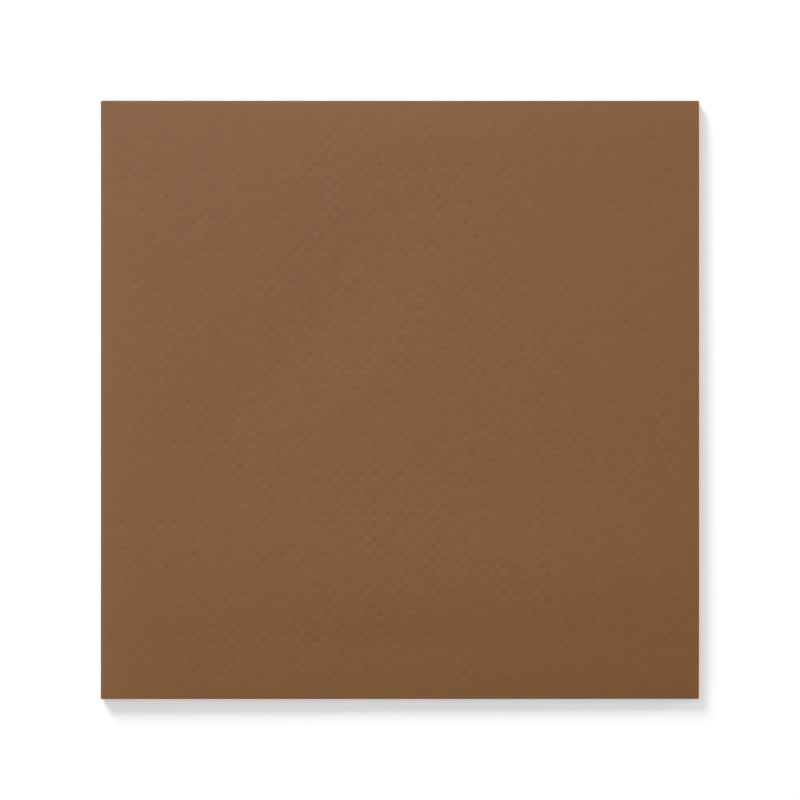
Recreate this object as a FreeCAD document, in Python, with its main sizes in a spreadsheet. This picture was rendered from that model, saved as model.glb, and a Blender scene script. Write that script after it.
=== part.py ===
import FreeCAD, Part
import os

import Sketcher
from FreeCAD import Vector

# A paper napkin: one square sheet of embossed two-ply tissue, folded twice and lying flat.
# The first fold doubles the sheet over itself, and the second one doubles it again across the first,
# so four layers lie on each other. The paper springs open a little in its folds. That makes the
# napkin thickest at its closed corner and thinnest at the open one, where only cut edges meet.
# Air under the two top layers lifts them in the middle.
#
# Frame: millimetres, +Z up, the origin in the middle of the underside. The second fold is the -X
# side and the first fold the +Y side. The sheet's cut edges lie along the +X and -Y sides.

NODE = "folded_napkin"

# Each driving size: its name, its value and what it measures.
DRIVING_SIZES = [
    ("sheet_side", 330.0, "side of the flat square sheet, as cut"),
    ("sheet_thickness", 0.4, "two embossed plies together"),
    ("first_fold_gap", 0.5, "air inside the first fold, beside its bend"),
    ("second_fold_gap", 0.6, "air inside the second fold, beside its bend"),
    ("open_gap", 0.2, "air between two layers at their cut edges"),
    ("top_swell", 0.8, "how far air lifts the middle of the top layer"),
    ("second_swell", 0.4, "how far air lifts the middle of the layer under it"),
]

# The stations of the upper half, from the second fold to the open side. Each has its name, its share
# of that way, and the share of the full swell that the layers reach there.
UPPER_STATIONS = [
    ("AtSecondFold", 0.0, 0.0),
    ("BesideSecondFold", 0.12, 0.45),
    ("LeftOfMiddle", 0.35, 1.0),
    ("RightOfMiddle", 0.62, 0.95),
    ("BesideOpenSide", 0.87, 0.5),
    ("AtOpenSide", 1.0, 0.25),
]

# What follows from the driving sizes, written for the expressions that bind the sketches to them.
PAPER = "Sizes.sheet_thickness"
FIRST_GAP = "Sizes.first_fold_gap"
SECOND_GAP = "Sizes.second_fold_gap"
OPEN_GAP = "Sizes.open_gap"
FOLDED_SIDE = "(Sizes.sheet_side / 2)"
FIRST_BEND_RADIUS = f"({FIRST_GAP} / 2 + {PAPER})"
SECOND_BEND_RADIUS = f"({SECOND_GAP} / 2 + {FIRST_GAP} + 2 * {PAPER})"
FIRST_BEND_Y = f"({FOLDED_SIDE} / 2 - {FIRST_BEND_RADIUS})"
CUT_EDGE_Y = f"(-{FOLDED_SIDE} / 2)"
SECOND_BEND_X = f"({SECOND_BEND_RADIUS} - {FOLDED_SIDE} / 2)"
LAYER_LENGTH = f"({FOLDED_SIDE} - {SECOND_BEND_RADIUS})"
LAYER_WIDTH = f"({FOLDED_SIDE} - {FIRST_BEND_RADIUS})"
CLOSED_HEIGHT = f"(2 * {SECOND_BEND_RADIUS})"

# How a sketch's constraints number its origin and the points of a line or an arc.
ORIGIN = (-1, 1)
START, END, CENTRE = range(1, 4)
# Each face of a layer is drawn from the first fold's bend to the cut edge.
AT_BEND, AT_CUT = START, END


def make_size_sheet(doc):
    """Writes the driving sizes into the document's spreadsheet, one to a row."""
    sheet = doc.addObject("Spreadsheet::Sheet", "Sizes")
    for row, (name, value, meaning) in enumerate(DRIVING_SIZES, start=1):
        sheet.set(f"A{row}", name)
        sheet.set(f"B{row}", str(value))
        sheet.set(f"C{row}", meaning)
        sheet.setAlias(f"B{row}", name)
    doc.recompute()


def point(sketch, along, height):
    """The point of the sketch's plane at two expressions' values."""
    return Vector(float(sketch.evalExpression(along)), float(sketch.evalExpression(height)))


def bind(sketch, kind, places, expression):
    """Adds a constraint of that kind at those places, with its value bound to the expression."""
    value = float(sketch.evalExpression(expression))
    index = sketch.addConstraint(Sketcher.Constraint(kind, *places, value))
    sketch.setExpression(f"Constraints[{index}]", expression)


def join(sketch, first, first_end, second, second_end):
    """Makes the ends of two lines or arcs one point."""
    sketch.addConstraint(Sketcher.Constraint("Coincident", first, first_end, second, second_end))


def sketch_across_layers(body, name, at_x):
    """Starts a sketch in the body's YZ plane, moved along X to the place that at_x gives."""
    plane = next(feature for feature in body.Origin.OriginFeatures if feature.Role == "YZ_Plane")
    sketch = body.newObject("Sketcher::SketchObject", name)
    sketch.AttachmentSupport = [(plane, "")]
    sketch.MapMode = "FlatFace"
    sketch.setExpression("AttachmentOffset.Base.z", at_x)
    return sketch


def draw_face(sketch, height_at_bend, height_at_cut, swell):
    """Draws one face of a layer, straight, or as an arc that rises by the swell."""
    at_bend = point(sketch, FIRST_BEND_Y, height_at_bend)
    at_cut = point(sketch, CUT_EDGE_Y, height_at_cut)
    if swell is None:
        face = sketch.addGeometry(Part.LineSegment(at_bend, at_cut))
    else:
        crown = (at_bend + at_cut) / 2 + point(sketch, "0", swell)
        face = sketch.addGeometry(Part.Arc(at_bend, crown, at_cut))

    bind(sketch, "DistanceX", (*ORIGIN, face, AT_BEND), FIRST_BEND_Y)
    bind(sketch, "DistanceY", (*ORIGIN, face, AT_BEND), height_at_bend)
    bind(sketch, "DistanceX", (*ORIGIN, face, AT_CUT), CUT_EDGE_Y)
    bind(sketch, "DistanceY", (*ORIGIN, face, AT_CUT), height_at_cut)
    if swell is not None:
        chord_squared = f"({LAYER_WIDTH} ^ 2 + ({height_at_bend} - {height_at_cut}) ^ 2)"
        bind(sketch, "Radius", (face,), f"({chord_squared} / 4 + {swell} ^ 2) / (2 * {swell})")
    return face


def close_cut_edge(sketch, top_face, under_face):
    """Draws a layer's cut edge, from its top face down to its underside."""
    top = sketch.getPoint(top_face, AT_CUT)
    bottom = sketch.getPoint(under_face, AT_CUT)
    edge = sketch.addGeometry(Part.LineSegment(top, bottom))
    join(sketch, edge, START, top_face, AT_CUT)
    join(sketch, edge, END, under_face, AT_CUT)


def draw_bend(sketch, upper_face, lower_face):
    """Draws the first fold's half round, which carries the lower face round into the upper one."""
    top = sketch.getPoint(upper_face, AT_BEND)
    bottom = sketch.getPoint(lower_face, AT_BEND)
    outermost = (top + bottom) / 2 + Vector((top - bottom).Length / 2, 0)
    bend = sketch.addGeometry(Part.Arc(bottom, outermost, top))
    join(sketch, bend, START, lower_face, AT_BEND)
    join(sketch, bend, END, upper_face, AT_BEND)
    bind(sketch, "DistanceX", (*ORIGIN, bend, CENTRE), FIRST_BEND_Y)


def draw_doubled_sheet(sketch, upper_layer, lower_layer):
    """Draws the section of two layers that the first fold joins.

    Each layer is the height of its top at the bend, the height of its top at the cut edge, and the
    swell of the layer, or None where it lies straight.
    """
    faces = []
    for top_at_bend, top_at_cut, swell in (upper_layer, lower_layer):
        top_face = draw_face(sketch, top_at_bend, top_at_cut, swell)
        under_face = draw_face(sketch, f"({top_at_bend} - {PAPER})", f"({top_at_cut} - {PAPER})", swell)
        close_cut_edge(sketch, top_face, under_face)
        faces += [top_face, under_face]
    outer_top, inner_top, inner_bottom, outer_bottom = faces
    draw_bend(sketch, outer_top, outer_bottom)
    draw_bend(sketch, inner_top, inner_bottom)


def draw_second_bend_axis(sketch):
    """Draws the construction line that the second fold turns about, along Y above the section."""
    start = point(sketch, "0", SECOND_BEND_RADIUS)
    axis = sketch.addGeometry(Part.LineSegment(start, start + point(sketch, LAYER_WIDTH, "0")), True)
    sketch.addConstraint(Sketcher.Constraint("Vertical", *ORIGIN, axis, START))
    sketch.addConstraint(Sketcher.Constraint("Horizontal", axis))
    bind(sketch, "DistanceY", (*ORIGIN, axis, START), SECOND_BEND_RADIUS)
    bind(sketch, "DistanceX", (axis, START, axis, END), LAYER_WIDTH)


def sketch_lower_half(body):
    """Sketches the two layers that lie below: the bottom one flat, and the one that leans on it."""
    sketch = sketch_across_layers(body, "LowerHalfSection", SECOND_BEND_X)
    leaning_layer = (f"({FIRST_GAP} + 2 * {PAPER})", f"({OPEN_GAP} + 2 * {PAPER})", None)
    bottom_layer = (PAPER, PAPER, None)
    draw_doubled_sheet(sketch, leaning_layer, bottom_layer)
    draw_second_bend_axis(sketch)
    return sketch


def sketch_upper_half(body, name, way, swell_share):
    """Sketches the two layers that lie above, at one station of the way to the open side."""
    sketch = sketch_across_layers(body, name, f"{SECOND_BEND_X} + {way} * {LAYER_LENGTH}")
    top_at_bend = f"({CLOSED_HEIGHT} - {way} * ({SECOND_GAP} - {OPEN_GAP}))"
    top_at_cut = f"({CLOSED_HEIGHT} - {way} * (2 * {FIRST_GAP} + {SECOND_GAP} - 3 * {OPEN_GAP}))"
    second_at_bend = f"({top_at_bend} - {PAPER} - {FIRST_GAP})"
    second_at_cut = f"({top_at_cut} - {PAPER} - {OPEN_GAP})"
    top_swell = f"({swell_share} * Sizes.top_swell)" if swell_share else None
    second_swell = f"({swell_share} * Sizes.second_swell)" if swell_share else None
    top_layer = (top_at_bend, top_at_cut, top_swell)
    second_layer = (second_at_bend, second_at_cut, second_swell)
    draw_doubled_sheet(sketch, top_layer, second_layer)
    return sketch


def make_napkin(doc):
    """Builds the folded sheet as one body: its lower half, the second fold and its upper half."""
    body = doc.addObject("PartDesign::Body", "Napkin")
    body.Label = NODE
    section = sketch_lower_half(body)

    lower_half = body.newObject("PartDesign::Pad", "LowerHalf")
    lower_half.Profile = section
    lower_half.setExpression("Length", LAYER_LENGTH)

    second_fold = body.newObject("PartDesign::Revolution", "SecondFold")
    second_fold.Profile = section
    second_fold.ReferenceAxis = (section, ["Axis0"])
    second_fold.Angle = 180

    stations = [sketch_upper_half(body, *station) for station in UPPER_STATIONS]
    upper_half = body.newObject("PartDesign::AdditiveLoft", "UpperHalf")
    upper_half.Profile = stations[0]
    upper_half.Sections = stations[1:]
    return body


def check(doc, body):
    """Stops where a feature failed or the body isn't one sound solid."""
    for item in doc.Objects:
        if "Invalid" in item.State or "Error" in item.State:
            raise RuntimeError(f"{item.Name} failed: {item.State}")
    shape = body.Shape
    if shape.isNull() or not shape.isValid() or len(shape.Solids) != 1:
        raise RuntimeError(f"{body.Label} isn't one sound solid")


def export(body):
    """Writes the body's solid to its own STEP file."""
    os.makedirs("parts", exist_ok=True)
    body.Shape.exportStep(f"parts/{body.Label}.step")
    print(f"{body.Label}: {body.Shape.Volume:.1f} mm3, {len(body.Shape.Faces)} faces")


document = FreeCAD.newDocument("Napkin")
make_size_sheet(document)
napkin = make_napkin(document)
document.recompute()
check(document, napkin)
export(napkin)
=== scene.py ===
"""A paper napkin, folded in four, as it lies on a white table.

The napkin is one sheet of embossed two-ply tissue. Its two outward faces are covered with a
staggered field of pressed dots, which Geometry Nodes lays out flat. Each face is then laid over the
folded form that the frame gives, and the folds, the hidden layers and the cut edges are skinned
round them, so that the sheet is one closed surface.

Units are metres. X runs from the second fold to the open side, Y from the open side to the first
fold, and Z up from the table.
"""

import logging
import math
from dataclasses import dataclass, field
from enum import Enum

import bmesh
import bpy
import numpy as np
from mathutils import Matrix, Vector


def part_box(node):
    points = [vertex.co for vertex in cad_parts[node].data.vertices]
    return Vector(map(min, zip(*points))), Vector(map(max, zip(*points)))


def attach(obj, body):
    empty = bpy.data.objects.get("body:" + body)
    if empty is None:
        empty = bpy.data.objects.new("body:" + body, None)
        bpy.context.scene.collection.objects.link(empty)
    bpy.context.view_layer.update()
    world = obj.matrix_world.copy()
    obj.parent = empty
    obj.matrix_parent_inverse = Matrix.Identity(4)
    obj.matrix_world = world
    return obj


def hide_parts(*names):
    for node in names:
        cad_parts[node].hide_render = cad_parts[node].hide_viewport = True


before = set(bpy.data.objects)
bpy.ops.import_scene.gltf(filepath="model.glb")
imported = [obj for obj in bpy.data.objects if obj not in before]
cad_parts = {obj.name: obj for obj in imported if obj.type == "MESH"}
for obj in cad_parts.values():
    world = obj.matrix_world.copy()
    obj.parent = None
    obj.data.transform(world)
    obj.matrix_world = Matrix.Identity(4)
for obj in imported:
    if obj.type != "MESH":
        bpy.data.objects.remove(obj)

log = logging.getLogger("napkin")

MM = 0.001
NODE = "folded_napkin"
SLOT = "brown_tissue"

# Rows of points, of one of their coordinates, or of their numbers.
Array = np.ndarray
Socket = bpy.types.NodeSocket

# How far aside a slope is probed, how near a point counts as on a side, and how near two are one.
PROBE = 0.05 * MM
NEAR = 0.01 * MM
SAME = 0.002 * MM

# How far out the three guide points on each side of a pressed bend lie, in half gaps. The second
# reaches past the fold and the third back to it, which turns the paper late and squarely.
BEND_PULL = (0.0, 1.3, 0.95)

# What is left of something that fades, each time one reach further on.
FADE = math.exp(-1)


class Half(Enum):
    """The two halves of the sheet that the second fold joins."""

    LOWER = 0
    UPPER = 1

    @property
    def faces(self) -> tuple[int, ...]:
        """The four faces of its layers from the outside in, numbered from the table up."""
        return (0, 1, 2, 3) if self is Half.LOWER else (7, 6, 5, 4)

    @property
    def outwards(self) -> int:
        """The way along Z that its embossed face looks."""
        return -1 if self is Half.LOWER else 1


class Run(Enum):
    """The stretches of the sheet's outline, in order round a section across the first fold."""

    OUTER_BEND = "round the outside of the first fold"
    HIDDEN_FACE = "the outward face of the layer inside the napkin"
    HIDDEN_CUT = "the cut edge of that layer"
    INNER_ROOF = "the inward face of that layer"
    INNER_BEND = "round the inside of the first fold"
    INNER_FLOOR = "the inward face of the outermost layer"
    OUTER_CUT = "the cut edge of the outermost layer"
    OUTER_FACE = "the outward face of the outermost layer, which is embossed"


@dataclass(frozen=True)
class Puff:
    """A place where the top layer stands a little higher or lower than round about.

    It lies at x and y, reaches so far along its own length and width, and is turned from X by turn.
    """

    x: float
    y: float
    length: float
    width: float
    height: float
    turn: float = 0.0

    def lift(self, x: Array, y: Array) -> Array:
        """How high the puff stands.

        Args:
            x: Places along X.
            y: Places along Y.

        Returns:
            The puff's height at each place.
        """
        cosine, sine = math.cos(self.turn), math.sin(self.turn)
        along = ((x - self.x) * cosine + (y - self.y) * sine) / self.length
        across = ((y - self.y) * cosine - (x - self.x) * sine) / self.width
        return self.height * np.exp(-(along**2) - across**2)


PUFFS = (
    Puff(8 * MM, -50 * MM, 58 * MM, 18 * MM, 0.42 * MM),
    Puff(8 * MM, -67 * MM, 60 * MM, 6 * MM, -0.12 * MM),
    Puff(-24 * MM, 18 * MM, 46 * MM, 17 * MM, -0.5 * MM, math.radians(51)),
    Puff(-68 * MM, 24 * MM, 12 * MM, 48 * MM, 0.25 * MM),
    Puff(-74 * MM, 46 * MM, 9 * MM, 9 * MM, 0.2 * MM),
    Puff(60 * MM, 52 * MM, 26 * MM, 20 * MM, -0.15 * MM),
    Puff(62 * MM, -48 * MM, 30 * MM, 20 * MM, 0.26 * MM),
    Puff(6 * MM, 71 * MM, 20 * MM, 8 * MM, 0.12 * MM),
    Puff(-52 * MM, 74 * MM, 26 * MM, 12 * MM, -0.12 * MM),
    Puff(50 * MM, -73 * MM, 38 * MM, 11 * MM, 0.15 * MM),
    Puff(-52 * MM, -74 * MM, 24 * MM, 12 * MM, -0.08 * MM),
)


@dataclass(frozen=True)
class FoldedForm:
    """The shape of the folded sheet: four layers, two folds and the air between them.

    Gaps are the air between two layers, and swells how far air lifts the two upper ones. Rolls say
    how soon these are free of a fold or the cut edge. Droop and curl bend the open corner down.
    """

    side: float
    paper: float = 0.4 * MM
    first_gap: float = 0.5 * MM
    second_gap: float = 0.6 * MM
    open_gap: float = 0.35 * MM
    top_swell: float = 0.8 * MM
    second_swell: float = 0.4 * MM
    open_loss: float = 0.3
    fold_roll: float = 9.0 * MM
    second_fold_roll: float = 10.0 * MM
    open_roll: float = 16.0 * MM
    puff_roll: float = 5.0 * MM
    corner_droop: float = 0.05 * MM
    corner_width: float = 54.4 * MM
    corner_reach: float = 34.0 * MM
    curl: float = 0.05 * MM
    curl_width: float = 17.0 * MM
    curl_reach: float = 0.9 * MM
    second_lift: float = 1 / 2
    second_droop: float = 2 / 3
    third_droop: float = 1 / 3
    puffs: tuple[Puff, ...] = PUFFS

    @property
    def first_bend(self) -> float:
        """Radius of the first fold's bend, outside."""
        return self.first_gap / 2 + self.paper

    @property
    def second_bend(self) -> float:
        """Radius of the second fold's bend, outside."""
        return self.second_gap / 2 + self.first_gap + 2 * self.paper

    @property
    def fold_x(self) -> float:
        """Where the layers leave the second fold."""
        return self.second_bend - self.side / 2

    @property
    def fold_y(self) -> float:
        """Where the layers leave the first fold."""
        return self.side / 2 - self.first_bend

    @property
    def open_x(self) -> float:
        """The open side across from the second fold."""
        return self.side / 2

    @property
    def cut_y(self) -> float:
        """The open side across from the first fold."""
        return -self.side / 2

    def _free(self, x: Array, y: Array, rolls: tuple[float, ...]) -> Array:
        """How free the upper layers are of the two folds and the cut edge that hold them down.

        Args:
            x: Places along X.
            y: Places along Y.
            rolls: How soon they are free of the second fold, the first fold and the cut edge.

        Returns:
            The share at each place, from 0 to 1.
        """
        share = np.ones_like(x)
        for distance, roll in zip((x - self.fold_x, self.fold_y - y, y - self.cut_y), rolls):
            share = share * (1 - np.exp(-np.clip(distance, 0, None) / roll))
        return share

    def swell(self, x: Array, y: Array) -> Array:
        """How much of the air's lift a place has: none at the folds and the cut edge, all in the middle.

        Args:
            x: Places along X.
            y: Places along Y.

        Returns:
            The share of the full lift at each place, from 0 to 1.
        """
        way = np.clip((x - self.fold_x) / (self.open_x - self.fold_x), 0, 1)
        rolls = (self.second_fold_roll, self.fold_roll, self.open_roll)
        return self._free(x, y, rolls) * (1 - self.open_loss * way**2)

    def puffed(self, x: Array, y: Array) -> Array:
        """How far the puffs lift the top layer: not at all at the folds and the cut edge."""
        total = sum((puff.lift(x, y) for puff in self.puffs), np.zeros_like(x))
        return total * self._free(x, y, (self.puff_roll,) * 3)

    def droop(self, x: Array, y: Array) -> Array:
        """How far the upper layers sink at the open corner, with the curl of the cut edge there.

        Args:
            x: Places along X.
            y: Places along Y.

        Returns:
            How far the top layer sinks at each place.
        """
        away = ((x - self.open_x) / self.corner_width) ** 2
        away = away + ((y - self.cut_y) / self.corner_reach) ** 2
        curled = np.exp(-((x - self.open_x) / self.curl_width) ** 2)
        curled = curled * np.exp(-((y - self.cut_y) / self.curl_reach) ** 2)
        return self.corner_droop * np.exp(-away) + self.curl * curled

    def faces(self, x: Array, y: Array) -> list[Array]:
        """Heights of the eight faces of the four layers, from the table up.

        Args:
            x: Places along X, between the second fold and the open side.
            y: Places along Y, between the cut edges and the first fold.

        Returns:
            Eight arrays of heights, two for each layer.
        """
        way = (x - self.fold_x) / (self.open_x - self.fold_x)
        across = (self.fold_y - y) / (self.fold_y - self.cut_y)
        swell = self.swell(x, y)
        lower_gap = self.first_gap + (self.open_gap - self.first_gap) * across
        first_loss = 2 * (self.first_gap - self.open_gap) * across
        settled = way * (self.second_gap - self.open_gap + first_loss)
        lift = self.puffed(x, y)
        droop = self.droop(x, y)
        top = 2 * self.second_bend - settled + swell * self.top_swell + lift - droop
        second = 2 * self.second_bend - settled - self.paper - lower_gap
        second += swell * self.second_swell + lift * self.second_lift - droop * self.second_droop
        lower_gap -= droop * self.third_droop
        return [
            np.zeros_like(x),
            np.full_like(x, self.paper),
            self.paper + lower_gap,
            2 * self.paper + lower_gap,
            second - self.paper,
            second,
            top - self.paper,
            top,
        ]

    def face(self, index: int, x: Array, y: Array) -> Array:
        """Points on one of the eight faces, above the places x and y."""
        return np.stack([x, y, self.faces(x, y)[index]], axis=-1)


def in_scene(name: str, data: bpy.types.ID) -> bpy.types.Object:
    """Adds an object to the scene.

    Args:
        name: The object's name.
        data: Its mesh, light or camera.

    Returns:
        The object.
    """
    made = bpy.data.objects.new(name, data)
    bpy.context.scene.collection.objects.link(made)
    return made


def distances(line: Array) -> Array:
    """How far along a line each of its points lies, from 0 up."""
    return np.concatenate([[0], np.cumsum(np.linalg.norm(np.diff(line, axis=0), axis=1))])


def bend(start: Array, end: Array, leaving: Array, arriving: Array, steps: int) -> Array:
    """Carries points round a pressed fold, from one layer to the other.

    The paper runs on nearly flat and turns close to the outermost line. The bend stands out by half
    the distance between the layers, as a half round does.

    Args:
        start: Points where the paper leaves the first layer, one to a row.
        end: Points where it meets the second layer.
        leaving: Unit directions in which it leaves the first layer, outwards.
        arriving: Unit directions in which the second layer runs out to the fold.
        steps: How many stretches the bend is divided into.

    Returns:
        An array of steps + 1 rows of points, the first of them start and the last of them end.
    """
    radius = np.linalg.norm(end - start, axis=-1, keepdims=True) / 2
    guides = [start + leaving * radius * reach for reach in BEND_PULL]
    guides += [end + arriving * radius * reach for reach in reversed(BEND_PULL)]
    share = np.linspace(0, 1, steps + 1).reshape(-1, *([1] * start.ndim))
    last = len(guides) - 1
    points = np.zeros_like(share * start)
    for step, guide in enumerate(guides):
        points += math.comb(last, step) * share**step * (1 - share) ** (last - step) * guide
    return points


class NodeBench:
    """A node tree, emptied, whose nodes are made and linked by name."""

    def __init__(self, tree: bpy.types.NodeTree) -> None:
        """Takes the tree and empties it."""
        self.tree = tree
        tree.nodes.clear()

    def node(
        self, kind: str, values: dict[str | int, object] | None = None, **settings: object
    ) -> bpy.types.Node:
        """Adds a node.

        Args:
            kind: The node's type.
            values: Its inputs by name or number, each a socket to link or a plain value.
            **settings: Its settings by name.

        Returns:
            The node.
        """
        made = self.tree.nodes.new(kind)
        for name, value in settings.items():
            setattr(made, name, value)
        for name, value in (values or {}).items():
            if isinstance(value, Socket):
                self.tree.links.new(value, made.inputs[name])
            else:
                made.inputs[name].default_value = value
        return made

    def math(self, operation: str, *values: Socket | float) -> Socket:
        """Adds a Math node for those sockets or numbers, and gives its output."""
        return self.node("ShaderNodeMath", dict(enumerate(values)), operation=operation).outputs[0]

    @staticmethod
    def in_use(sockets: bpy.types.bpy_prop_collection) -> Socket:
        """The one of a node's outputs that its settings leave in use."""
        return next(socket for socket in sockets if socket.enabled)


@dataclass(frozen=True)
class DimpleCell:
    """One square of the embossing: a pressed dot, or the blank that stands beside it.

    The floor's sizes are shares of half the cell. The presses and the puff are shares of the depth.
    """

    width: float
    height: float
    floor_width: float = 0.62
    floor_height: float = 0.42
    floor_press: float = 0.88
    floor_shift: float = 0.1
    floor_stretch: float = 0.45
    puff: float = 0.3
    plain_press: float = 0.8
    ring: int = 8

    def _rim(self) -> list[tuple[float, float, float]]:
        """The points round the cell's edge, at the height of the tissue between the dots."""
        signs = [(1, 0), (1, 1), (0, 1), (-1, 1), (-1, 0), (-1, -1), (0, -1), (1, -1)]
        return [(self.width / 2 * along, self.height / 2 * up, 0.0) for along, up in signs]

    def _floor(self) -> list[tuple[float, float, float]]:
        """Gives the dot's pressed floor, which is stretched along one diagonal.

        Returns:
            The points round it.
        """
        ring = []
        for step in range(self.ring):
            angle = step * math.tau / self.ring
            reach = 1 - self.floor_stretch * math.sin(2 * angle)
            along = self.width / 2 * (self.floor_width * reach * math.cos(angle) + self.floor_shift)
            up = self.height / 2 * (self.floor_height * reach * math.sin(angle) - self.floor_shift / 2)
            ring.append((along, up, -self.floor_press))
        return ring

    def dot(self, name: str) -> bpy.types.Object:
        """Makes a pressed dot, one unit deep, with a round floor and walls that fade to the rim.

        Args:
            name: The object's name.

        Returns:
            The dot, for the field to repeat.
        """
        points = [(0.0, 0.0, -1.0), *self._floor(), *self._rim()]
        faces = self._fan(self.ring)
        for _, here, after in self._fan(self.ring):
            faces.append((here, self.ring + here, self.ring + after, after))
        return self._object(name, points, faces)

    def blank(self, name: str) -> bpy.types.Object:
        """The place between four dots, where the tissue puffs up a little."""
        return self._object(name, [(0.0, 0.0, self.puff), *self._rim()], self._fan(self.ring))

    def plain_dot(self, name: str) -> bpy.types.Object:
        """A dot with few faces, for the side that lies on the table."""
        corners = self._rim()[1::2]
        return self._object(name, [(0.0, 0.0, -self.plain_press), *corners], self._fan(len(corners)))

    def plain_blank(self, name: str) -> bpy.types.Object:
        """A blank with one face, for the side that lies on the table."""
        return self._object(name, self._rim()[1::2], [(0, 1, 2, 3)])

    @staticmethod
    def _fan(count: int) -> list[tuple[int, ...]]:
        """The triangles from point 0 to each two neighbours of the ring of that many points."""
        return [(0, 1 + step, 1 + (step + 1) % count) for step in range(count)]

    @staticmethod
    def _object(name: str, points: list, faces: list) -> bpy.types.Object:
        """Makes the cell an object that the field can repeat.

        Args:
            name: The object's name.
            points: The cell's points.
            faces: The numbers of the points round each face.

        Returns:
            The cell's object.
        """
        mesh = bpy.data.meshes.new(name)
        mesh.from_pydata(points, [], faces)
        return in_scene(name, mesh)


class DimpleFieldTree:
    """The Geometry Nodes tree that lays dots and blanks out like the squares of a chessboard."""

    INPUTS = {
        "NodeSocketObject": ("Dot", "Blank"),
        "NodeSocketInt": ("Columns", "Rows", "Seed"),
        "NodeSocketFloat": (
            "Cell Width", "Cell Height", "Depth", "Depth Spread", "Turned Share", "Edge Fade",
            "Patch Size", "Patch Spread",
        ),
        "NodeSocketVector": ("Crisp Place", "Crisp Reach"),
        "NodeSocketMaterial": ("Material",),
    }
    # The patches' noise: its finer layers, what spreads it over their full swing, and the least
    # depth that it leaves.
    NOISE_DETAIL = 1.0
    NOISE_GAIN = 4.0
    LEAST_SHARE = 0.15
    # Which inputs of a Random Value node are the least and the greatest plain number.
    LEAST, GREATEST = 2, 3

    def __init__(self) -> None:
        """Makes the tree, with its inputs and all its nodes."""
        self.tree = bpy.data.node_groups.new("dimple_field", "GeometryNodeTree")
        self.tree.is_modifier = True
        panel = self.tree.interface
        self.sockets = {
            name: panel.new_socket(name=name, in_out="INPUT", socket_type=kind).identifier
            for kind, names in self.INPUTS.items()
            for name in names
        }
        panel.new_socket(name="Geometry", in_out="OUTPUT", socket_type="NodeSocketGeometry")
        self.bench = NodeBench(self.tree)
        self.given = self.bench.node("NodeGroupInput").outputs
        self._build()

    def _build(self) -> None:
        """Builds the nodes: the chessboard, the depth of each cell, the cells and their finish."""
        bench = self.bench
        position = bench.node("GeometryNodeInputPosition").outputs[0]
        board, is_blank, fade = self._board(position)
        depth = bench.math("MULTIPLY", self._depth(position), fade)
        scale = bench.node("ShaderNodeCombineXYZ", {"X": 1, "Y": 1, "Z": depth}).outputs[0]
        turn = self._turn()
        joined = bench.node("GeometryNodeJoinGeometry")
        for name, chosen in (("Dot", bench.math("SUBTRACT", 1, is_blank)), ("Blank", is_blank)):
            cell = bench.node("GeometryNodeObjectInfo", {"Object": self.given[name]})
            places = {
                "Points": board,
                "Selection": chosen,
                "Instance": cell.outputs["Geometry"],
                "Rotation": turn,
                "Scale": scale,
            }
            placed = bench.node("GeometryNodeInstanceOnPoints", places)
            bench.tree.links.new(placed.outputs["Instances"], joined.inputs["Geometry"])

        realized = bench.node("GeometryNodeRealizeInstances", {"Geometry": joined.outputs[0]})
        finish = {"Geometry": realized.outputs[0], "Material": self.given["Material"]}
        finished = bench.node("GeometryNodeSetMaterial", finish)
        bench.node("NodeGroupOutput", {"Geometry": finished.outputs[0]})

    def _board(self, position: Socket) -> tuple[Socket, Socket, Socket]:
        """Lays the chessboard out.

        Args:
            position: Where each square lies.

        Returns:
            The board, with a point in the middle of each square, whether a square is a blank one,
            and the share of the depth that the edge leaves it.
        """
        bench, given = self.bench, self.given
        axes = bench.node("ShaderNodeSeparateXYZ", {"Vector": position}).outputs
        sizes, parity, fades = {}, [], []
        for axis, count, size in (("X", "Columns", "Cell Width"), ("Y", "Rows", "Cell Height")):
            length = bench.math("MULTIPLY", bench.math("SUBTRACT", given[count], 1), given[size])
            half_length = bench.math("DIVIDE", length, 2)
            sizes[f"Size {axis}"] = length
            sizes[f"Vertices {axis}"] = given[count]
            from_edge = bench.math("ADD", axes[axis], half_length)
            parity.append(bench.math("ROUND", bench.math("DIVIDE", from_edge, given[size])))
            room = bench.math("SUBTRACT", half_length, bench.math("ABSOLUTE", axes[axis]))
            fades.append(bench.math("MINIMUM", bench.math("DIVIDE", room, given["Edge Fade"]), 1))
        board = bench.node("GeometryNodeMeshGrid", sizes).outputs["Mesh"]
        is_blank = bench.math("FLOORED_MODULO", bench.math("ADD", *parity), 2)
        return board, is_blank, bench.math("MULTIPLY", *fades)

    def _turn(self) -> Socket:
        """Turns some of the cells half round, by chance.

        Returns:
            Each cell's turn.
        """
        chance = {"Probability": self.given["Turned Share"], "Seed": self.given["Seed"]}
        turned = self.bench.node("FunctionNodeRandomValue", chance, data_type="BOOLEAN")
        angle = self.bench.math("MULTIPLY", self.bench.in_use(turned.outputs), math.pi)
        return self.bench.node("ShaderNodeCombineXYZ", {"Z": angle}).outputs[0]

    def _depth(self, position: Socket) -> Socket:
        """Draws the depth of each cell, with deeper and shallower patches and chance in every dot.

        Args:
            position: Where each cell lies.

        Returns:
            The depth.
        """
        bench, given = self.bench, self.given
        scale = bench.math("DIVIDE", 1, given["Patch Size"])
        look = {"Vector": position, "W": given["Seed"], "Scale": scale, "Detail": self.NOISE_DETAIL}
        noise = bench.node("ShaderNodeTexNoise", look, noise_dimensions="4D").outputs[0]
        swing = bench.math("MULTIPLY", bench.math("SUBTRACT", noise, 0.5), self.NOISE_GAIN)
        patches = bench.math("ADD", bench.math("MULTIPLY", swing, given["Patch Spread"]), 1)
        least = bench.math("MAXIMUM", patches, self.LEAST_SHARE)

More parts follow.
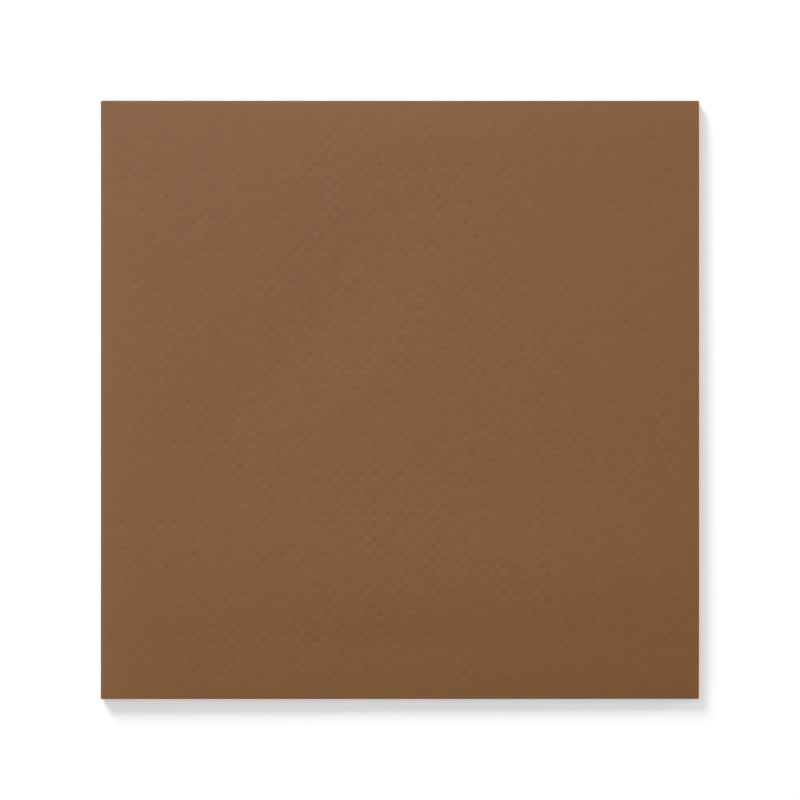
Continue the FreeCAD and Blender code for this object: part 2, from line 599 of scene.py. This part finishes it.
        low = bench.math("SUBTRACT", 1, given["Depth Spread"])
        high = bench.math("ADD", 1, given["Depth Spread"])
        spread = {self.LEAST: low, self.GREATEST: high, "Seed": given["Seed"]}
        chance = bench.node("FunctionNodeRandomValue", spread, data_type="FLOAT")
        share = bench.math("MULTIPLY", least, bench.in_use(chance.outputs))
        depth = bench.math("MULTIPLY", share, given["Depth"])
        return bench.math("MULTIPLY", depth, self._crispness(position))

    def _crispness(self, position: Socket) -> Socket:
        """Lets the dots lose depth away from the place where they are crispest.

        Args:
            position: Where each cell lies.

        Returns:
            The share of the full depth that each cell keeps.
        """
        away = position
        for operation, name in (("SUBTRACT", "Crisp Place"), ("DIVIDE", "Crisp Reach")):
            values = {0: away, 1: self.given[name]}
            away = self.bench.node("ShaderNodeVectorMath", values, operation=operation).outputs[0]
        squared = self.bench.node("ShaderNodeVectorMath", {0: away, 1: away}, operation="DOT_PRODUCT")
        return self.bench.math("POWER", FADE, squared.outputs["Value"])


@dataclass
class EmbossedFace:
    """A flat face of the folded square with its field of dots, before it is laid over the napkin."""

    width: float
    height: float
    columns: int = 92
    rows: int = 90
    depth: float = 0.047 * MM
    depth_spread: float = 0.85
    turned_share: float = 0.5
    edge_fade: float = 3.5 * MM
    patch_size: float = 28 * MM
    patch_spread: float = 0.35
    crisp_place: tuple[float, float, float] = (-15 * MM, 3 * MM, 0.0)
    crisp_reach: tuple[float, float, float] = (150 * MM, 180 * MM, 1 * MM)
    seed: int = 7

    def build(
        self, tree: DimpleFieldTree, fine: bool, material: bpy.types.Material
    ) -> tuple[Array, list]:
        """Makes the face.

        Args:
            tree: The tree that lays the cells out.
            fine: Whether the dots get a round floor, or only a point.
            material: The finish that the tree sets.

        Returns:
            The face's points, from 0 up along both sides, and its polygons.
        """
        cell = DimpleCell(self.width / self.columns, self.height / self.rows)
        dot = cell.dot("dot") if fine else cell.plain_dot("dot")
        blank = cell.blank("blank") if fine else cell.plain_blank("blank")
        host = in_scene("face", bpy.data.meshes.new("face"))
        field_modifier = host.modifiers.new("dimple_field", "NODES")
        field_modifier.node_group = tree.tree
        values = {
            "Dot": dot,
            "Blank": blank,
            "Columns": self.columns,
            "Rows": self.rows,
            "Cell Width": cell.width,
            "Cell Height": cell.height,
            "Depth": self.depth,
            "Depth Spread": self.depth_spread,
            "Turned Share": self.turned_share,
            "Edge Fade": self.edge_fade,
            "Patch Size": self.patch_size,
            "Patch Spread": self.patch_spread,
            "Crisp Place": self.crisp_place,
            "Crisp Reach": self.crisp_reach,
            "Seed": self.seed,
            "Material": material,
        }
        for name, value in values.items():
            field_modifier[tree.sockets[name]] = value
        graph = bpy.context.evaluated_depsgraph_get()
        mesh = bpy.data.meshes.new_from_object(host.evaluated_get(graph), depsgraph=graph)
        points, polygons = self._joined(mesh)
        host.modifiers.clear()
        for spent in (host, dot, blank):
            bpy.data.objects.remove(spent)
        bpy.data.meshes.remove(mesh)
        return points + np.array([self.width / 2, self.height / 2, 0]), polygons

    @staticmethod
    def _joined(mesh: bpy.types.Mesh) -> tuple[Array, list]:
        """Joins neighbouring cells at their rims.

        Args:
            mesh: The cells.

        Returns:
            The points and the polygons of one whole face.
        """
        work = bmesh.new()
        work.from_mesh(mesh)
        bmesh.ops.remove_doubles(work, verts=work.verts, dist=NEAR)
        work.verts.index_update()
        points = np.array([vert.co[:] for vert in work.verts])
        polygons = [tuple(vert.index for vert in face.verts) for face in work.faces]
        work.free()
        return points, polygons


@dataclass
class SheetSkin:
    """Gathers the sheet's points and polygons, piece by piece."""

    points: list[Array] = field(default_factory=list)
    polygons: list[tuple[int, ...]] = field(default_factory=list)
    count: int = 0

    def add(self, points: Array) -> Array:
        """Adds points.

        Args:
            points: The points, in any layout of rows.

        Returns:
            Their numbers, in the same layout.
        """
        flat = points.reshape(-1, 3)
        numbers = np.arange(self.count, self.count + len(flat)).reshape(points.shape[:-1])
        self.points.append(flat)
        self.count += len(flat)
        return numbers

    def panel(self, numbers: Array) -> None:
        """Covers a layout of rows and columns with four-sided polygons.

        Args:
            numbers: The numbers of the points, row by row.
        """
        for here, there in zip(numbers[:-1], numbers[1:]):
            for step in range(len(here) - 1):
                self.polygons.append((here[step], here[step + 1], there[step + 1], there[step]))

    def sew(self, one: Array, other: Array) -> None:
        """Joins two borders that run the same way, with any number of points in each.

        Args:
            one: The numbers of the first border's points.
            other: The numbers of the second border's points.
        """
        # After its last point, a border leaves the rest to the other.
        share_one, share_other = (np.append(self._shares(border), np.inf) for border in (one, other))
        at_one = at_other = 0
        while at_one < len(one) - 1 or at_other < len(other) - 1:
            if share_one[at_one + 1] <= share_other[at_other + 1]:
                self.polygons.append((one[at_one], one[at_one + 1], other[at_other]))
                at_one += 1
            else:
                self.polygons.append((one[at_one], other[at_other + 1], other[at_other]))
                at_other += 1

    def _shares(self, border: Array) -> Array:
        """How far along its border each of the numbered points lies, from 0 to 1."""
        along = distances(np.concatenate(self.points)[border])
        return along / along[-1]

    def mesh(self, name: str) -> bpy.types.Mesh:
        """Closes the skin into one mesh with its faces outwards.

        Args:
            name: The mesh's name.

        Returns:
            The mesh.
        """
        mesh = bpy.data.meshes.new(name)
        polygons = [[int(number) for number in polygon] for polygon in self.polygons]
        mesh.from_pydata(np.concatenate(self.points).tolist(), [], polygons)
        work = bmesh.new()
        work.from_mesh(mesh)
        bmesh.ops.remove_doubles(work, verts=work.verts, dist=SAME)
        bmesh.ops.recalc_face_normals(work, faces=work.faces)
        open_edges = sum(not edge.is_manifold for edge in work.edges)
        work.to_mesh(mesh)
        work.free()
        log.info("%s: %d polygons, %d open edges", name, len(mesh.polygons), open_edges)
        return mesh


@dataclass
class NapkinSheet:
    """The whole folded sheet: two embossed faces and the skin between them.

    The hidden layers' cut edges stand back unevenly, and the rows of dots drift a little aside.
    """

    form: FoldedForm
    along_steps: int = 46
    across_steps: int = 46
    hidden_steps: int = 24
    bend_steps: int = 10
    groove: float = 0.08 * MM
    stand_back: float = 0.22 * MM
    stand_back_reach: float = 25.0 * MM
    uneven_share: float = 0.4
    uneven_length: float = 19.0 * MM
    drift: float = 0.5 * MM
    drift_waves: tuple[float, ...] = (1.1, 2.3, 1.7, 2.9)
    sharp_angle: float = math.radians(40)

    @staticmethod
    def _outward(edge: Array, inside: Array) -> Array:
        """The unit directions from points inside a layer to the points at its edge."""
        direction = edge - inside
        return direction / np.linalg.norm(direction, axis=-1, keepdims=True)

    def _crease(self, one: int, other: int, x: float) -> Array:
        """Carries one face round the first fold into another.

        Args:
            one: The face that the bend starts on.
            other: The face that it ends on.
            x: Where the section lies.

        Returns:
            The points round the bend.
        """
        at_x = np.array([x])
        at_fold = np.array([self.form.fold_y])
        ends = []
        slopes = []
        for index in (one, other):
            ends.append(self.form.face(index, at_x, at_fold))
            slopes.append(self._outward(ends[-1], self.form.face(index, at_x, at_fold - PROBE)))
        return bend(*ends, *slopes, self.bend_steps)[:, 0]

    def _cut(self, one: Array, other: Array) -> Array:
        """Three points down a cut edge, whose middle lies in the groove between the plies."""
        return np.stack([one, (one + other) / 2 + np.array([0, self.groove, 0]), other])

    def section(self, x: float, half: Half) -> dict[Run, Array]:
        """The outline of the two layers of one half, cut across the first fold.

        Args:
            x: Where the section lies.
            half: The lower two layers or the upper two.

        Returns:
            The points of each run, in order round the outline.
        """
        form = self.form
        outer, inner_floor, inner_roof, hidden = half.faces
        uneven = 1 + self.uneven_share * math.sin(x / self.uneven_length + 2 * half.value)
        short_y = form.cut_y + self.stand_back * uneven
        short = np.linspace(form.fold_y, short_y, self.hidden_steps + 1)
        across = np.linspace(form.fold_y, form.cut_y, self.hidden_steps + 1)
        fine = np.linspace(form.cut_y, form.fold_y, self.across_steps + 1)
        at = np.full_like(across, x)
        hidden_face = form.face(hidden, at, short)
        roof = form.face(inner_roof, at, short[::-1])
        floor = form.face(inner_floor, at, across)
        outer_face = form.face(outer, np.full_like(fine, x), fine)
        return {
            Run.OUTER_BEND: self._crease(outer, hidden, x),
            Run.HIDDEN_FACE: hidden_face,
            Run.HIDDEN_CUT: self._cut(hidden_face[-1], roof[0]),
            Run.INNER_ROOF: roof,
            Run.INNER_BEND: self._crease(inner_roof, inner_floor, x),
            Run.INNER_FLOOR: floor,
            Run.OUTER_CUT: self._cut(floor[-1], outer_face[0]),
            Run.OUTER_FACE: outer_face,
        }

    def _fold_sections(self) -> dict[Run, Array]:
        """Carries the section round the second fold, from the lower half to the upper.

        Returns:
            The points of each run round the fold, one row for each step.
        """
        x = self.form.fold_x
        edges = [self.section(x, half) for half in Half]
        insides = [self.section(x + PROBE, half) for half in Half]
        carried = {}
        for run in Run:
            ends = [edge[run] for edge in edges]
            slopes = [self._outward(edge[run], inside[run]) for edge, inside in zip(edges, insides)]
            carried[run] = bend(*ends, *slopes, 2 * self.bend_steps)
        return carried

    def _lay_face(
        self, skin: SheetSkin, flat: Array, polygons: list, half: Half
    ) -> dict[str, Array]:
        """Lays an embossed face over its half.

        Args:
            skin: What the face is added to.
            flat: The face's points, flat, with the relief as their height.
            polygons: The face's polygons.
            half: The underside of the napkin or its top.

        Returns:
            The numbers of the points along each side of the face, by the side's name.
        """
        form = self.form
        width, height = form.open_x - form.fold_x, form.fold_y - form.cut_y
        u, v = flat[:, 0] / width, flat[:, 1] / height
        inside = np.sin(math.pi * u) * np.sin(math.pi * v)
        x_by_u, x_by_v, y_by_u, y_by_v = self.drift_waves
        x = form.fold_x + flat[:, 0] + self.drift * inside * np.sin(x_by_v * v + x_by_u * u)
        y = form.cut_y + flat[:, 1] + self.drift * inside * np.cos(y_by_u * u - y_by_v * v)
        laid = form.face(half.faces[0], x, y)
        laid[:, 2] += half.outwards * flat[:, 2]
        numbers = skin.add(laid)
        skin.polygons.extend(tuple(numbers[i] for i in polygon) for polygon in polygons)

        sides = {
            "fold": (flat[:, 0] < NEAR, 1),
            "open": (flat[:, 0] > width - NEAR, 1),
            "cut": (flat[:, 1] < NEAR, 0),
            "first": (flat[:, 1] > height - NEAR, 0),
        }
        return {
            name: numbers[np.flatnonzero(on_side)[np.argsort(flat[on_side, axis])]]
            for name, (on_side, axis) in sides.items()
        }

    def _skin_half(self, skin: SheetSkin, half: Half, border: dict[str, Array]) -> None:
        """Skins the bends, hidden faces and cut edges of one half, and its ends at the open side.

        Args:
            skin: What the polygons are added to.
            half: The lower two layers or the upper two.
            border: The numbers of the points along each side of the embossed face.
        """
        form = self.form
        stations = np.linspace(form.open_x, form.fold_x, self.along_steps + 1)[::-1]
        sections = [self.section(x, half) for x in stations]
        for run in (Run.HIDDEN_FACE, Run.HIDDEN_CUT, Run.INNER_ROOF):
            from_fold = (form.fold_y - sections[-1][run][:, 1]) / self.stand_back_reach
            sections[-1][run][:, 0] -= self.stand_back * np.clip(from_fold, 0, 1)
        skinned = [run for run in Run if run is not Run.OUTER_FACE]
        rows = {run: skin.add(np.stack([section[run] for section in sections])) for run in skinned}
        for run, numbers in rows.items():
            if run is Run.OUTER_BEND:
                skin.sew(border["first"], numbers[:, 1])
                numbers = numbers[:, 1:]
            elif run is Run.OUTER_CUT:
                skin.sew(border["cut"], numbers[:, -2])
                numbers = numbers[:, :-1]
            skin.panel(numbers)

        ends = {run: numbers[-1] for run, numbers in rows.items()}
        outer, inner = self._end_lines({**ends, Run.OUTER_FACE: border["open"]})
        groove = skin.add(self._end_groove(sections[-1]))
        middle = np.concatenate([[ends[Run.OUTER_CUT][1]], groove, [ends[Run.HIDDEN_CUT][1]]])
        skin.sew(outer, middle)
        skin.sew(middle, inner)

    @staticmethod
    def _end_lines(section: dict[Run, Array]) -> tuple[Array, Array]:
        """Joins a section's runs into the two lines that bound its cut end.

        Args:
            section: The points of each run, or their numbers.

        Returns:
            The line round the outside of both layers, and the one round their inside.
        """
        outside = (section[Run.OUTER_FACE], section[Run.OUTER_BEND][1:], section[Run.HIDDEN_FACE][1:])
        inside = (section[Run.INNER_ROOF], section[Run.INNER_BEND][1:], section[Run.INNER_FLOOR][1:])
        return np.concatenate(outside), np.concatenate(inside)[::-1]

    def _end_groove(self, section: dict[Run, Array]) -> Array:
        """Draws the line between the two plies along the open side, a little in from the cut.

        Args:
            section: The section at the open side.

        Returns:
            The line's points, without its two ends.
        """
        count = 2 * self.hidden_steps + self.bend_steps
        middle = np.zeros((count - 1, 3))
        for line in self._end_lines(section):
            along = distances(line)
            wanted = np.linspace(0, along[-1], count + 1)[1:-1]
            for axis in range(3):
                middle[:, axis] += np.interp(wanted, along, line[:, axis]) / 2
        return middle - np.array([self.groove, 0, 0])

    def _skin_fold(self, skin: SheetSkin, borders: dict[Half, dict[str, Array]]) -> None:
        """Skins the second fold, from the lower half's sections to the upper half's.

        Args:
            skin: What the polygons are added to.
            borders: The numbers of the points along the sides of the two embossed faces.
        """
        for run, points in self._fold_sections().items():
            numbers = skin.add(points)
            if run is Run.OUTER_FACE:
                skin.sew(borders[Half.LOWER]["fold"], numbers[1])
                skin.sew(borders[Half.UPPER]["fold"], numbers[-2])
                numbers = numbers[1:-1]
            skin.panel(numbers)

    def build(self, name: str, material: bpy.types.Material) -> bpy.types.Object:
        """Makes the napkin's object.

        Args:
            name: The object's name.
            material: Its finish.

        Returns:
            The closed sheet, in place.
        """
        form = self.form
        tree = DimpleFieldTree()
        skin = SheetSkin()
        borders = {}
        for half, fine in ((Half.LOWER, False), (Half.UPPER, True)):
            face = EmbossedFace(form.open_x - form.fold_x, form.fold_y - form.cut_y)
            flat, polygons = face.build(tree, fine, material)
            borders[half] = self._lay_face(skin, flat, polygons, half)
            self._skin_half(skin, half, borders[half])
        self._skin_fold(skin, borders)
        mesh = skin.mesh(name)
        mesh.materials.append(material)
        mesh.shade_smooth()
        mesh.set_sharp_from_angle(angle=self.sharp_angle)
        return in_scene(name, mesh)


@dataclass(frozen=True)
class TissueFinish:
    """Brown two-ply tissue: matt and faintly mottled, with painted sheen at the closed corner, painted
    shade towards the open corner, a painted light band along the second fold and painted shade on both
    creases.
    """

    half_side: float
    # Painted light: the first brown is paler with painted sheen, for the closed corner; the second is
    # darker with painted shade, for the open corner.
    painted_sheen_brown: tuple[float, float, float] = (0.2305, 0.1099, 0.0496)
    painted_shade_brown: tuple[float, float, float] = (0.2305, 0.1027, 0.0353)
    roughness: float = 0.7
    specular: float = 0.3
    # The reach and the slopes of that painted sheen-to-shade gradient.
    painted_light_reach: float = 165 * MM
    painted_light_across: float = 0.38
    painted_light_down: float = 0.62
    # Painted light along the second fold, and painted shade on both creases.
    painted_fold_light: float = 0.05
    painted_fold_light_reach: float = 9 * MM
    painted_crease_shade: float = 0.15
    painted_crease_reach: float = 0.5 * MM
    mottle_size: float = 3.8 * MM
    mottle_depth: float = 0.16
    mottle_roughness: float = 0.6
    fibre_size: float = 0.9 * MM
    fibre_roughness: float = 0.7
    fibre_height: float = 0.035 * MM
    detail: float = 4.0

    def material(self, name: str) -> bpy.types.Material:
        """Builds the tissue's material.

        Args:
            name: The material's name.

        Returns:
            The material.
        """
        material = bpy.data.materials.new(name)
        material.use_nodes = True
        bench = NodeBench(material.node_tree)
        place = bench.node("ShaderNodeTexCoord").outputs["Object"]
        looks = {
            "Roughness": self.roughness,
            "Specular IOR Level": self.specular,
            "Base Color": self._mottled(bench, place, self._painted_light_brown(bench, place)),
            "Normal": self._fibres(bench, place),
        }
        shader = bench.node("ShaderNodeBsdfPrincipled", looks)
        bench.node("ShaderNodeOutputMaterial", {"Surface": shader.outputs["BSDF"]})
        return material

    def _painted_light_brown(self, bench: NodeBench, place: Socket) -> Socket:
        """Makes the brown, paler with painted sheen at the closed corner and darker with painted shade
        at the open one.

        Args:
            bench: The material's nodes.
            place: Where a point of the sheet lies.

        Returns:
            The brown.
        """
        axes = bench.node("ShaderNodeSeparateXYZ", {"Vector": place}).outputs
        # Painted sheen and shade: the share runs from the closed corner, paler, to the open corner,
        # darker.
        across = bench.math("MULTIPLY", axes["X"], self.painted_light_across / self.painted_light_reach)
        down = bench.math("MULTIPLY", axes["Y"], self.painted_light_down / self.painted_light_reach)
        share = bench.math("ADD", bench.math("SUBTRACT", across, down), 0.5)
        ends = {"Factor": share, "A": (*self.painted_sheen_brown, 1), "B": (*self.painted_shade_brown, 1)}
        return bench.in_use(bench.node("ShaderNodeMix", ends, data_type="RGBA").outputs)

    def _mottled(self, bench: NodeBench, place: Socket, colour: Socket) -> Socket:
        """Makes the brown uneven, as tissue is, with painted light that makes it paler near the second
        fold and painted shade that makes it dark on both creases.

        Args:
            bench: The material's nodes.
            place: Where a point of the sheet lies.
            colour: The brown, with its painted sheen and painted shade.

        Returns:
            The uneven brown.
        """
        cloud = self._noise(bench, place, self.mottle_size, self.mottle_roughness)
        swing = bench.math("MULTIPLY", bench.math("SUBTRACT", cloud, 0.5), self.mottle_depth)
        axes = bench.node("ShaderNodeSeparateXYZ", {"Vector": place}).outputs
        from_second = bench.math("ADD", axes["X"], self.half_side)
        from_first = bench.math("SUBTRACT", self.half_side, axes["Y"])
        # Painted light: a paler band along the second fold.
        pale = bench.math("POWER", FADE, bench.math("DIVIDE", from_second, self.painted_fold_light_reach))
        swing = bench.math("ADD", swing, bench.math("MULTIPLY", pale, self.painted_fold_light))
        # Painted shade: a dark line at the very edge of both creases.
        for distance in (from_second, from_first):
            away = bench.math("DIVIDE", distance, self.painted_crease_reach)
            crease_shade = bench.math("POWER", FADE, bench.math("MULTIPLY", away, away))
            swing = bench.math("SUBTRACT", swing, bench.math("MULTIPLY", crease_shade, self.painted_crease_shade))
        change = {"Color": colour, "Value": bench.math("ADD", swing, 1)}
        return bench.node("ShaderNodeHueSaturation", change).outputs["Color"]

    def _fibres(self, bench: NodeBench, place: Socket) -> Socket:
        """Makes the uneven nap of the fibres.

        Args:
            bench: The material's nodes.
            place: Where a point of the sheet lies.

        Returns:
            The surface's direction there.
        """
        fibre = self._noise(bench, place, self.fibre_size, self.fibre_roughness)
        relief = {"Height": fibre, "Distance": self.fibre_height}
        return bench.node("ShaderNodeBump", relief).outputs["Normal"]

    def _noise(self, bench: NodeBench, place: Socket, size: float, roughness: float) -> Socket:
        """A cloudy noise from 0 to 1, whose largest clouds have that size."""
        look = {"Vector": place, "Scale": 1 / size, "Detail": self.detail, "Roughness": roughness}
        return bench.node("ShaderNodeTexNoise", look).outputs["Fac"]


@dataclass(frozen=True)
class WhiteTable:
    """The pale table: it shows white, and keeps the napkin's shadow."""

    half_side: float = 3.0
    drop: float = 0.02 * MM
    diffuse: float = 0.8
    seen_diffuse: float = 0.69
    glow: float = 0.468

    def build(self) -> bpy.types.Object:
        """Makes the table top, a hair under the napkin so that they share no plane.

        Returns:
            The table top.
        """
        mesh = bpy.data.meshes.new("table_top")
        signs = ((-1, -1), (1, -1), (1, 1), (-1, 1))
        corners = [(x * self.half_side, y * self.half_side, -self.drop) for x, y in signs]
        mesh.from_pydata(corners, [], [(0, 1, 2, 3)])
        mesh.materials.append(self._material())
        table = in_scene("table_top", mesh)
        return table

    def _material(self) -> bpy.types.Material:
        """Paints it white for the light it sends on, and with a glow for the eye and for gloss.

        Returns:
            The material.
        """
        material = bpy.data.materials.new("table_white")
        material.use_nodes = True
        bench = NodeBench(material.node_tree)
        path = bench.node("ShaderNodeLightPath").outputs
        seen = path["Is Camera Ray"]
        for name in ("Is Glossy Ray", "Is Transmission Ray"):
            seen = bench.math("MAXIMUM", seen, path[name])
        sent_on = bench.node("ShaderNodeBsdfDiffuse", {"Color": (self.diffuse,) * 3 + (1,)})
        paint = bench.node("ShaderNodeBsdfDiffuse", {"Color": (self.seen_diffuse,) * 3 + (1,)})
        glow = bench.node("ShaderNodeEmission", {"Strength": self.glow})
        looks = bench.node("ShaderNodeAddShader", {0: paint.outputs[0], 1: glow.outputs[0]})
        either = {"Fac": seen, 1: sent_on.outputs[0], 2: looks.outputs[0]}
        chosen = bench.node("ShaderNodeMixShader", either)
        bench.node("ShaderNodeOutputMaterial", {"Surface": chosen.outputs[0]})
        return material


@dataclass(frozen=True)
class SoftLamp:
    """A square lamp that points at the middle of the table."""

    name: str
    place: tuple[float, float, float]
    side: float
    watts: float

    def build(self) -> None:
        """Hangs the lamp, out of the camera's sight."""
        data = bpy.data.lights.new(self.name, "AREA")
        data.shape = "SQUARE"
        data.size = self.side
        data.energy = self.watts
        lamp = in_scene(self.name, data)
        lamp.location = self.place
        lamp.rotation_euler = (-Vector(self.place)).to_track_quat("-Z", "Y").to_euler()
        lamp.visible_camera = False


@dataclass(frozen=True)
class Studio:
    """Plain soft light, and the camera straight above the napkin."""

    lamps: tuple[SoftLamp, ...] = (
        SoftLamp("key", (-0.91, 1.449, 0.828), 0.8, 45.0),
        SoftLamp("low_fill", (2.80, 0.90, 0.52), 0.9, 38.0),
        SoftLamp("overhead", (-0.01, 0.0, 0.33), 0.25, 0.27),
    )
    dome: float = 0.12
    lens: float = 135.0
    sensor: float = 36.0
    frame_pixels: float = 800.0
    napkin_pixels: float = 599.15
    near_clip: float = 10 * MM
    aside: tuple[float, float] = (0.08 * MM, -0.063 * MM)

    def light(self) -> None:
        """Adds the lamps and the even dome."""
        for lamp in self.lamps:
            lamp.build()
        world = bpy.data.worlds.new("dome")
        world.use_nodes = True
        bench = NodeBench(world.node_tree)
        even = {"Color": (1, 1, 1, 1), "Strength": self.dome}
        sky = bench.node("ShaderNodeBackground", even)
        bench.node("ShaderNodeOutputWorld", {"Surface": sky.outputs[0]})
        bpy.context.scene.world = world

    def camera(self, side: float, top: float) -> None:
        """Hangs the camera over the middle of the napkin.

        Args:
            side: The napkin's side, which fills napkin_pixels of the picture.
            top: The height of the napkin's top.
        """
        data = bpy.data.cameras.new("camera")
        data.lens = self.lens
        data.sensor_width = self.sensor
        data.clip_start = self.near_clip
        camera = in_scene("camera", data)
        across = side * self.frame_pixels / self.napkin_pixels
        camera.location = (*self.aside, top + across * self.lens / self.sensor)
        bpy.context.scene.camera = camera


def main() -> None:
    """Builds the napkin, its table and its light."""
    logging.basicConfig(level=logging.INFO, format="%(name)s: %(message)s")
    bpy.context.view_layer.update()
    low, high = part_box(NODE)
    side = high.x - low.x

    tissue = TissueFinish(side / 2).material(SLOT)
    sheet = NapkinSheet(FoldedForm(side=side)).build("embossed_sheet", tissue)
    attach(sheet, "root")
    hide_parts(NODE)

    WhiteTable().build()
    studio = Studio()
    studio.light()
    studio.camera(side, high.z)
    bpy.context.scene.view_settings.view_transform = "Standard"


if __name__ == "__main__":
    main()
